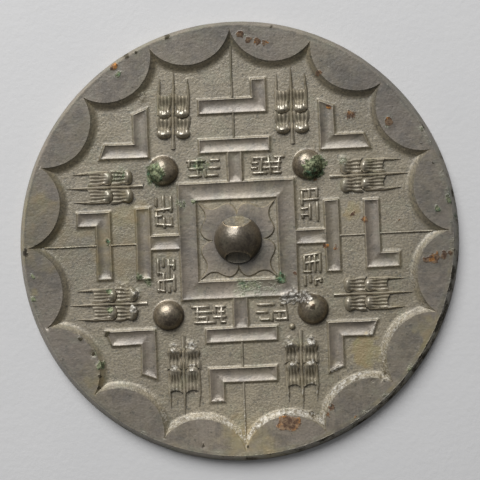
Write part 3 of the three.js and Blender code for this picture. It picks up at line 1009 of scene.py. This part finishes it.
# %% The rim's edge and the hole's lips
EDGE_REACH, SIDE_STARTS = 1.3, 0.1      # inside the rim's edge: where stains end, side starts
LINE_HALF_WIDTH = 0.15          # half the width of the line of dirt
DAMP_AND_SHADED_WAY = -38                  # the edge that lay dampest and gets painted shade, as it faces away from the lamp, in degrees
LIP_HIGHLIGHTS = (2.8, 0.9)         # painted highlights on the lips of the two mouths
ON_KNOB, OVER_FLOOR = 0.2, 0.4      # a lip's points lie this near the ball, above the sill
ON_LIP = 0.05                   # and this near a mouth's skin, as a share of its size


def edge_marks(co, out, turn):
    """Verdigris, earth and dirt on the rim's edge, and painted shade on its side, most at the
    lower right.
    """
    if out < RIM_R - EDGE_REACH or co.z < FACE_SKIN:
        return 0, 0, 0, 0
    patchy = 0.5 + 0.9 * noise.noise(co * 0.35)
    on_top = out < RIM_R - SIDE_STARTS
    on_line = abs(out - RIM_R + EDGE_LINE) < LINE_HALF_WIDTH
    dirt = 0.3 * max(0.0, patchy) if on_line else 0.0
    if on_top:
        patchy *= 0.8
    damp_and_shaded = max(0.0, math.cos(math.radians(turn - DAMP_AND_SHADED_WAY))) ** 0.5
    # painted shade on the side at the lower right, which faces away from the lamp
    dirt_and_shade = 0.0 if on_top else 0.58 - 0.4 * patchy
    return (0.22 + 0.20 * damp_and_shaded) * patchy, (0.75 - 0.4 * patchy) * damp_and_shaded, dirt_and_shade * damp_and_shaded, dirt


def lip_highlight(co):
    """Painted highlight along the edges of the hole's two mouths, where a cord has polished
    them.
    """
    if abs((co - UP * GROUND).length - KNOB_R) > ON_KNOB or co.z < FLOOR_Z + OVER_FLOOR:
        return 0.0
    for (centre, half_sizes), highlight in zip(MOUTHS, LIP_HIGHLIGHTS):
        away = co - Vector(centre)
        share = Vector(a / half for a, half in zip(away, half_sizes)).length
        if abs(share - 1) < ON_LIP:
            return highlight
    return 0.0


# %% Tone of one point
LIT_WALL_WAY = -70                 # painted light: the rim's walls that face the lamp are palest this way, in degrees
LIT_WALL_CRUST, LIT_WALL_TONE = 0.58, 0.22
RUB_IN, RUB_OUT = 29, 56        # between these radii all relief is rubbed lighter and given a painted highlight that grows with height,
RUB_LOW_FROM, RUB_LOW = 19.5, 3      # and beyond the first only what is lower
RUB_AND_HIGHLIGHT_TONE, RUB_FROM, RUB_OVER = 0.3, 0.35, 0.5      # from this height on, and over this much
GRIME_AND_LIGHT_FROM = 0.6                # lower points are the side, which gets neither grime and painted shade nor bright edges with painted highlights
GRIME_AND_SHADE, DARKEST_GRIME_AND_SHADE, BRIGHTEST_WEAR_AND_HIGHLIGHT = -0.21, -0.18, 0.5      # per climb, darkest grime and painted shade, brightest wear and painted highlight
TROUGH_TONE = 0.10
RIM_TONE, RIM_TONE_R = -0.09, 52      # the rim's top is darker beyond this radius
SIDE_SHADE_WAY, SIDE_MARGIN = -50, 0.3      # painted shade: the leaning side is darkest this way, where it faces away from the lamp, in degrees
SIDE_PAINTED_SHADE, SIDE_PAINTED_LIGHT = 0.3, 0.6      # and painted lightest on the other side, which faces the lamp


def rim_wall(out, z):
    return RIM_FROM_R < out < RIM_R - 0.5 and GROUND + 0.1 < z < RIM - 0.3


def skin_tone_and_light(i, co, out, turn, dirt):
    """How light or dark the metal is at one point, with its painted light and shade; 1 is the
    finish's own tone.
    """
    x, y, z = co
    tone = broad_tone_and_light_at(x, y) - dirt
    # painted light on the rim's walls that face the lamp
    if rim_wall(out, z):
        tone += LIT_WALL_TONE * max(0.0, math.cos(math.radians(turn - LIT_WALL_WAY)))
    # wear and a painted highlight on the tops of the relief
    if RUB_IN < out < RUB_OUT or (RUB_LOW_FROM < out and z < RUB_LOW):
        tone += RUB_AND_HIGHLIGHT_TONE * min(1.0, max(0.0, (z - GROUND - RUB_FROM) / RUB_OVER))
    if z > GRIME_AND_LIGHT_FROM:
        # painted shade in hollows and painted highlight on edges, together with grime and
        # rubbing
        # the lips of the hole's mouths also get a painted highlight
        tone += max(DARKEST_GRIME_AND_SHADE, min(BRIGHTEST_WEAR_AND_HIGHLIGHT, GRIME_AND_SHADE * climbs[i])) + lip_highlight(co)
    if i in trough:
        tone += TROUGH_TONE
    if out > RIM_TONE_R and z > RIM - RIM_TOP_DEEP:
        tone += RIM_TONE
    if out > RIM_R - SIDE_MARGIN:
        # painted light on the side that faces the lamp, painted shade on the side that faces
        # away
        facing = math.cos(math.radians(turn - SIDE_SHADE_WAY))
        tone += SIDE_PAINTED_LIGHT * max(0.0, -facing) - SIDE_PAINTED_SHADE * max(0.0, facing)
    return tone


# %% Store stains, crust and tone
casting.data.attributes.new("stain", "FLOAT_COLOR", "POINT")
casting.data.attributes.new("crust_and_wall_light", "FLOAT", "POINT")
# the tone also carries painted light and shade, besides wear and grime
casting.data.attributes.new("tone", "FLOAT", "POINT")
stain = casting.data.attributes["stain"]
crust_and_wall_light = casting.data.attributes["crust_and_wall_light"]
tones = casting.data.attributes["tone"]
GREEN_SHOWS = 0.3
greens = []
for i, v in enumerate(casting.data.vertices):
    x, y, z = v.co
    out, turn = math.hypot(x, y), math.degrees(math.atan2(y, x))
    strength = marks_at(x, y)[0] if z > FACE_SKIN else [0.0] * 5
    green, rust, ochre, dirt_and_shade, crust_with_wall_light = strength
    *edge, dirt = edge_marks(v.co, out, turn)
    green, ochre, dirt_and_shade = (max(a, b) for a, b in zip((green, ochre, dirt_and_shade), edge))
    # painted light: the rim's walls that face the lamp are whitened with crust
    if rim_wall(out, z):
        lit_wall = max(0.0, math.cos(math.radians(turn - LIT_WALL_WAY)))
        crust_with_wall_light = max(crust_with_wall_light, LIT_WALL_CRUST * lit_wall)
    stain.data[i].color = (green, rust, ochre, dirt_and_shade)
    crust_and_wall_light.data[i].value = crust_with_wall_light
    tones.data[i].value = skin_tone_and_light(i, v.co, out, turn, dirt)
    greens.append(green)
print(f"verdigris on {sum(green > GREEN_SHOWS for green in greens)} points")

# %% Bring it to metres
casting.data.transform(Matrix.Scale(MM, 4))
casting.name = "mirror_casting"
print("casting in metres:", [round(size, 4) for size in casting.dimensions])

# %% [markdown]
# ## The bronze and its patina
# High-tin bronze goes grey with age and takes an olive skin in the ground, while the
# parts that stand proud and were rubbed stay smoother and a little purple. One
# recipe makes all five finishes; only its colours, its sheen and the strength of its
# grain change. A few small helpers keep the recipe readable, because every node would
# otherwise take three or four lines.

# %% Node helpers
def wired(tree, kind, **values):
    """Adds a node and sets or links its inputs by name, or by number as i0, i1."""
    made = tree.nodes.new(kind)
    for key, value in values.items():
        by_number = key[1:].isdigit()
        socket = made.inputs[int(key[1:]) if by_number else key.replace("_", " ")]
        if isinstance(value, bpy.types.NodeSocket):
            tree.links.new(value, socket)
        else:
            socket.default_value = value
    return made


def cloud(tree, where, scale, detail=4.0, roughness=0.6):
    made = wired(tree, "ShaderNodeTexNoise", Vector=where, Scale=scale, Detail=detail,
                 Roughness=roughness)
    return made.outputs["Fac"]


def step_up(tree, value, low, high):
    made = wired(tree, "ShaderNodeMapRange", Value=value, From_Min=low, From_Max=high)
    made.interpolation_type = "SMOOTHSTEP"
    return made.outputs["Result"]


def stored(tree, name):
    """An attribute of the mesh."""
    made = tree.nodes.new("ShaderNodeAttribute")
    made.attribute_name = name
    return made.outputs


# %% Sums and blends
def sums(tree, operation, a, b):
    made = wired(tree, "ShaderNodeMath", i0=a, i1=b)
    made.operation = operation
    return made.outputs["Value"]


def times(tree, a, b):
    return sums(tree, "MULTIPLY", a, b)


def plus(tree, a, b):
    return sums(tree, "ADD", a, b)


def swing(tree, value, amount):
    """A cloud's swing about its middle, made stronger or weaker."""
    return times(tree, sums(tree, "SUBTRACT", value, 0.5), amount)


def blended(tree, amount, first, second):
    made = tree.nodes.new("ShaderNodeMix")
    made.data_type = "RGBA"
    for name, value in (("Factor", amount), ("A", first), ("B", second)):
        socket = [s for s in made.inputs if s.name == name and s.enabled][0]
        if isinstance(value, bpy.types.NodeSocket):
            tree.links.new(value, socket)
        elif name == "Factor":
            socket.default_value = value
        else:
            socket.default_value = (*value, 1)
    return [s for s in made.outputs if s.enabled][0]


def washed(tree, tone, cover, share, colour):
    """Lets a colour cover a share of a tone."""
    return blended(tree, times(tree, cover, share), tone, colour)


# %% [markdown]
# ## The bare skin
# Under its patina the metal is not one colour either. Three clouds of noise, broad,
# middle and fine, mix two tones and a deep one. Greenish and smudged places come on
# top, then the fine grain, and on the rubbed flats the lines left by a scraper.

# %% Scraper lines
HAIR_SCALE, HAIR_ALONG = 1400, 0.07      # fineness, and how much the lines are drawn out


def hair_lines(tree, where):
    """Fine lines that run outward from the square on each of its four sides."""
    at = wired(tree, "ShaderNodeSeparateXYZ", Vector=where)
    beside = sums(tree, "GREATER_THAN", sums(tree, "ABSOLUTE", at.outputs["X"], 0),
                  sums(tree, "ABSOLUTE", at.outputs["Y"], 0))
    lines = []
    for along in ((1.0, HAIR_ALONG, 1.0), (HAIR_ALONG, 1.0, 1.0)):
        drawn = wired(tree, "ShaderNodeVectorMath", i0=where, i1=along)
        drawn.operation = "MULTIPLY"
        lines.append(cloud(tree, drawn.outputs["Vector"], HAIR_SCALE, 2, 0.6))
    picked = times(tree, sums(tree, "SUBTRACT", lines[1], lines[0]), beside)
    return plus(tree, lines[0], picked)


# %% Bare skin
GREENISH = (0.185, 0.19, 0.12)
LIGHTER = 1.45                  # light grain against the main tone


def bare_skin(tree, where, clouds, tones, grain, greenness, smudges, hairlines):
    broad, middle, fine = clouds
    main, second, deep = tones
    light = tuple(min(1, c * LIGHTER) for c in main)
    tone = blended(tree, step_up(tree, broad, 0.38, 0.66), main, second)
    tone = washed(tree, tone, step_up(tree, middle, 0.5, 0.8), 0.3, deep)
    hue = step_up(tree, cloud(tree, where, 190, 4, 0.65), 0.50, 0.66)
    tone = washed(tree, tone, hue, greenness, GREENISH)
    smudge = step_up(tree, cloud(tree, where, 150, 6, 0.68), 0.47, 0.62)
    tone = washed(tree, tone, smudge, smudges, deep)
    hair = hair_lines(tree, where)
    tone = washed(tree, tone, step_up(tree, hair, 0.5, 0.75), hairlines, deep)
    tone = washed(tree, tone, step_up(tree, hair, 0.5, 0.25), hairlines, light)
    tone = washed(tree, tone, step_up(tree, fine, 0.5, 0.72), grain, light)
    return washed(tree, tone, step_up(tree, fine, 0.5, 0.3), grain, deep)


# %% [markdown]
# ## Patina over the skin
# Burial leaves its layers in an order: dark specks, a thin green wash, earth, then rust,
# verdigris, dirt and crust. The dirt layer also paints shade on the rim's side at the lower
# right, and the crust layer paints light on the rim's walls that face the lamp. Each layer
# shows where its attribute says, with a ragged edge that the clouds break up, and mixes a light
# and a deep colour in flecks.

# %% Colours of the patina
VERDIGRIS_WASH = (0.24, 0.26, 0.175)
VERDIGRIS_PALE, VERDIGRIS_DEEP = (0.32, 0.345, 0.21), (0.055, 0.065, 0.034)
VERDIGRIS_BRIGHT = (0.07, 0.19, 0.11)
RUST_LIGHT, RUST_DEEP = (0.27, 0.185, 0.115), (0.10, 0.06, 0.04)
RUST_ORANGE = (0.50, 0.225, 0.055)
OCHRE_TONE, OCHRE_BROWN = (0.265, 0.222, 0.088), (0.255, 0.185, 0.07)
# also the colour of the painted shade on the rim's side
DARK_TONE = (0.048, 0.044, 0.025)
# also the colour of the painted light on the rim's walls that face the lamp
CRUST_TONE = (0.47, 0.45, 0.405)


# %% Patina
def patina(tree, where, clouds, flecks, tone, deep):
    """Lays the layers over a tone; returns it and where it is covered and heaped."""
    broad, middle, fine = clouds
    stains = stored(tree, "stain")
    split = wired(tree, "ShaderNodeSeparateColor", Color=stains["Color"]).outputs
    green_at, rust_at, earth_at = split["Red"], split["Green"], split["Blue"]

    def mark(amount, first, second, tone, soft):
        ragged = plus(tree, amount, swing(tree, middle, 0.9))
        ragged = plus(tree, ragged, swing(tree, fine, 0.7))
        shown = times(tree, step_up(tree, ragged, 0.30, 0.30 + soft),
                      step_up(tree, amount, 0.02, 0.2))
        colour = blended(tree, step_up(tree, flecks, 0.38, 0.6), first, second)
        return blended(tree, shown, tone, colour), shown

    speck = step_up(tree, cloud(tree, where, 700, 2, 0.5), 0.655, 0.70)
    tone = washed(tree, tone, speck, 0.6, DARK_TONE)
    wash = times(tree, green_at, step_up(tree, middle, 0.3, 0.6))
    tone = washed(tree, tone, wash, 1.1, VERDIGRIS_WASH)
    earth = plus(tree, earth_at, swing(tree, broad, 1.2))
    earth = plus(tree, earth, swing(tree, middle, 0.8))
    earth = times(tree, step_up(tree, earth, 0.3, 1.1), step_up(tree, earth_at, 0.05, 0.3))
    ochre = blended(tree, step_up(tree, middle, 0.42, 0.6), OCHRE_TONE, OCHRE_BROWN)
    tone = washed(tree, tone, earth, 0.9, ochre)
    bright = step_up(tree, cloud(tree, where, 340, 3, 0.6), 0.50, 0.64)
    rust = blended(tree, bright, RUST_LIGHT, RUST_ORANGE)
    tone, rusted = mark(rust_at, rust, RUST_DEEP, tone, 0.22)
    green = washed(tree, VERDIGRIS_PALE, bright, 0.8, VERDIGRIS_BRIGHT)
    tone, greened = mark(green_at, green, VERDIGRIS_DEEP, tone, 0.35)
    # the dirt layer also carries the painted shade on the rim's side
    tone, dirty_and_shaded = mark(stains["Alpha"], DARK_TONE, deep, tone, 0.25)
    # the crust layer also paints light on the rim's walls that face the lamp
    tone, heaps_and_lit_walls = mark(stored(tree, "crust_and_wall_light")["Fac"], CRUST_TONE, deep, tone, 0.5)
    covered = sums(tree, "MAXIMUM", sums(tree, "MAXIMUM", greened, rusted), dirty_and_shaded)
    return tone, covered, greened, heaps_and_lit_walls


# %% Small relief of the skin
BUMP, BUMP_HEIGHT = 0.6, 0.00022      # strength, and height in metres


def small_relief(tree, where, clouds, flecks, grain, covered, greened, heaps_and_lit_walls):
    """Grain, pits and crumbs that are too fine for the mesh."""
    middle, fine = clouds[1:]
    pits = step_up(tree, cloud(tree, where, 420, 2, 0.5), 0.36, 0.30)
    grit = cloud(tree, where, 1000, 2, 0.6)
    crumbs = times(tree, sums(tree, "MAXIMUM", heaps_and_lit_walls, greened), flecks)
    height = times(tree, fine, 0.6 * grain + 0.1)
    for layer, share in ((middle, 0.5), (grit, 0.9 * grain), (pits, -0.08), (covered, 0.5),
                         (crumbs, 2.2)):
        height = plus(tree, height, times(tree, layer, share))
    bump = wired(tree, "ShaderNodeBump", Strength=BUMP, Distance=BUMP_HEIGHT, Height=height)
    return bump.outputs["Normal"]


# %% Aged bronze
OLD_TIN = 2.3                   # a tin-rich skin glints nearly white


def aged_bronze(mat, tones, dullness, metal, grain, greenness, smudges, hairlines):
    """One recipe for every finish: skin, patina, tone, sheen and small relief."""
    mat.use_nodes = True
    tree = mat.node_tree
    tree.nodes.clear()
    out = tree.nodes.new("ShaderNodeOutputMaterial")
    skin = tree.nodes.new("ShaderNodeBsdfPrincipled")
    tree.links.new(skin.outputs["BSDF"], out.inputs["Surface"])
    where = tree.nodes.new("ShaderNodeTexCoord").outputs["Object"]
    clouds = (cloud(tree, where, 55, 5, 0.62), cloud(tree, where, 260, 4, 0.6),
              cloud(tree, where, 1500, 3, 0.65))
    flecks = cloud(tree, where, 900, 4, 0.7)

    tone = bare_skin(tree, where, clouds, tones, grain, greenness, smudges, hairlines)
    deep = tones[2]
    tone, covered, greened, heaps_and_lit_walls = patina(tree, where, clouds, flecks, tone, deep)
    toned = wired(tree, "ShaderNodeVectorMath", i0=tone)
    toned.operation = "SCALE"
    tree.links.new(stored(tree, "tone")["Fac"], toned.inputs["Scale"])
    tree.links.new(toned.outputs["Vector"], skin.inputs["Base Color"])

    dull = plus(tree, swing(tree, clouds[1], 0.25), dullness)
    dull = plus(tree, dull, times(tree, covered, 0.35))
    dull = plus(tree, dull, times(tree, heaps_and_lit_walls, 0.15))
    tree.links.new(dull, skin.inputs["Roughness"])
    glint = sums(tree, "SUBTRACT", 0.5, times(tree, covered, 0.42))
    glint = sums(tree, "SUBTRACT", glint, times(tree, heaps_and_lit_walls, 0.3))
    tree.links.new(glint, skin.inputs["Specular IOR Level"])
    skin.inputs["Metallic"].default_value = metal
    skin.inputs["IOR"].default_value = OLD_TIN
    normal = small_relief(tree, where, clouds, flecks, grain, covered, greened, heaps_and_lit_walls)
    tree.links.new(normal, skin.inputs["Normal"])


# %% The five finishes
# Main tone, second tone, deep tone.
GROUND_TONES = (0.232, 0.193, 0.126), (0.206, 0.170, 0.101), (0.102, 0.084, 0.055)
LEAF_TONES = (0.285, 0.250, 0.190), (0.250, 0.217, 0.153), (0.12, 0.10, 0.065)
RUBBED_TONES = (0.178, 0.144, 0.106), (0.160, 0.131, 0.082), (0.070, 0.057, 0.041)
# The dome's tones are darker than the ground's, partly as painted shade for the dark room that
# the knob and bosses reflect.
DOME_TONES = (0.205, 0.165, 0.113), (0.172, 0.139, 0.088), (0.062, 0.045, 0.031)
FACE_TONES = (0.26, 0.235, 0.20), (0.19, 0.185, 0.14), (0.09, 0.08, 0.065)
aged_bronze(finishes[GROUND_FINISH], GROUND_TONES, dullness=0.50, metal=0.35, grain=0.85,
            greenness=0.35, smudges=0.4, hairlines=0.0)
aged_bronze(finishes[LEAF_FINISH], LEAF_TONES, dullness=0.34, metal=0.35, grain=0.4,
            greenness=0.4, smudges=0.5, hairlines=0.0)
aged_bronze(finishes[SMOOTH_FINISH], RUBBED_TONES, dullness=0.44, metal=0.35, grain=0.36,
            greenness=0.25, smudges=0.6, hairlines=0.3)
aged_bronze(finishes[FACE_FINISH], FACE_TONES, dullness=0.30, metal=0.8, grain=0.2,
            greenness=0.2, smudges=0.3, hairlines=0.0)
aged_bronze(finishes[DOME_FINISH], DOME_TONES, dullness=0.36, metal=0.6, grain=0.65,
            greenness=0.3, smudges=0.75, hairlines=0.0)
print("finishes on the casting:", [m.name for m in casting.data.materials])

# %% Tie the casting to the frame
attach(casting, "root")
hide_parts("mirror")

# %% [markdown]
# ## Table, light and camera
# The mirror lies on a pale plain table. A large soft lamp stands beyond its upper
# left edge, low enough to rake across the relief, and the room fills the shadows.
# The mirror lies turned a little against the view, so lamp, room and camera share
# the view's own two directions.

# %% Table
TABLE_HALF = 3
TABLE_TONES = (0.605, 0.605, 0.61), (0.65, 0.645, 0.645)
table = bmesh.new()
bmesh.ops.create_grid(table, x_segments=1, y_segments=1, size=TABLE_HALF)
mesh = bpy.data.meshes.new("table")
table.to_mesh(mesh)
table.free()
floor = bpy.data.objects.new("table", mesh)
bpy.context.scene.collection.objects.link(floor)
paper = bpy.data.materials.new("pale_table")
paper.use_nodes = True
tree = paper.node_tree
skin = tree.nodes["Principled BSDF"]
where = tree.nodes.new("ShaderNodeTexCoord").outputs["Object"]
tree.links.new(blended(tree, cloud(tree, where, 40, 4), *TABLE_TONES),
               skin.inputs["Base Color"])
skin.inputs["Roughness"].default_value = 0.9
weave = wired(tree, "ShaderNodeBump", Strength=0.25, Distance=0.0004,
              Height=cloud(tree, where, 500, 3))
tree.links.new(weave.outputs["Normal"], skin.inputs["Normal"])
mesh.materials.append(paper)
floor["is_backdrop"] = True
print("table in metres:", 2 * TABLE_HALF)

# %% Lamp
MIRROR_TURN = math.radians(2.3)      # the mirror lies turned this much against the view
view_up = Vector((math.sin(MIRROR_TURN), math.cos(MIRROR_TURN), 0))
view_right = Vector((math.cos(MIRROR_TURN), -math.sin(MIRROR_TURN), 0))
LAMP_RIGHT, LAMP_FAR, LAMP_UP = -0.309, 0.663, 0.682
lamp_way = (view_right * LAMP_RIGHT + view_up * LAMP_FAR + UP * LAMP_UP).normalized()
LAMP_AWAY, LAMP_SIZE, LAMP_WATTS = 1.2, 0.9, 16.6      # metres, metres, watts
lamp = bpy.data.lights.new("soft_lamp", "AREA")
lamp.shape = "DISK"
lamp.size = LAMP_SIZE
lamp.energy = LAMP_WATTS
soft_lamp = bpy.data.objects.new("soft_lamp", lamp)
soft_lamp.location = lamp_way * LAMP_AWAY
soft_lamp.rotation_euler = lamp_way.to_track_quat("Z", "Y").to_euler()
bpy.context.scene.collection.objects.link(soft_lamp)
soft_lamp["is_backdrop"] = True
print(f"lamp {math.degrees(math.asin(lamp_way.z)):.0f} degrees above the table")

# %% Room light
ROOM_COLOUR = (0.98, 0.99, 1.0, 1)
ROOM_DIM, ROOM_BRIGHT = 0.05, 0.33      # at the mirror's lower side and its upper side
ROOM_LEFT, ROOM_SPREAD = 0.4, 0.9      # brightest a little to the left; the light's run
room = bpy.data.worlds.new("room")
room.use_nodes = True
tree = room.node_tree
glow = tree.nodes["Background"]
glow.inputs["Color"].default_value = ROOM_COLOUR
way = tree.nodes.new("ShaderNodeTexCoord").outputs["Generated"]
towards = wired(tree, "ShaderNodeVectorMath", i0=way,
                i1=tuple(view_up - view_right * ROOM_LEFT))
towards.operation = "DOT_PRODUCT"
side = wired(tree, "ShaderNodeMapRange", Value=towards.outputs["Value"],
             From_Min=-ROOM_SPREAD, From_Max=ROOM_SPREAD, To_Min=ROOM_DIM, To_Max=ROOM_BRIGHT)
tree.links.new(side.outputs["Result"], glow.inputs["Strength"])
bpy.context.scene.world = room
print("room light from", ROOM_DIM, "to", ROOM_BRIGHT)

# %% Camera
AWAY = 1.0                      # from the mirror, in metres
SENSOR, LENS = 36, 239.9        # in millimetres
AIM = Vector((0.79, -0.23, RIM))
tilt_right, tilt_down = math.radians(4.8), math.radians(3.6)      # from straight above
view_way = (view_right * math.sin(tilt_right) - view_up * math.sin(tilt_down)
            + UP * math.cos(tilt_right) * math.cos(tilt_down)).normalized()
lens = bpy.data.cameras.new("camera")
lens.sensor_width = SENSOR
lens.lens = LENS
lens.dof.use_dof = False
lens.clip_start = 0.05
camera = bpy.data.objects.new("camera", lens)
camera.location = AIM * MM + view_way * AWAY
look_right = view_up.cross(view_way).normalized()
look_up = view_way.cross(look_right)
camera.matrix_world = Matrix.Translation(camera.location) @ Matrix(
    (look_right, look_up, view_way)).transposed().to_4x4()
bpy.context.scene.collection.objects.link(camera)
bpy.context.scene.camera = camera
bpy.context.scene.view_settings.view_transform = "Standard"
print(f"camera {math.degrees(math.acos(view_way.z)):.1f} degrees off straight down")

# %% Print the size
low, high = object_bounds()
print("visual box in metres:", low[:], high[:])
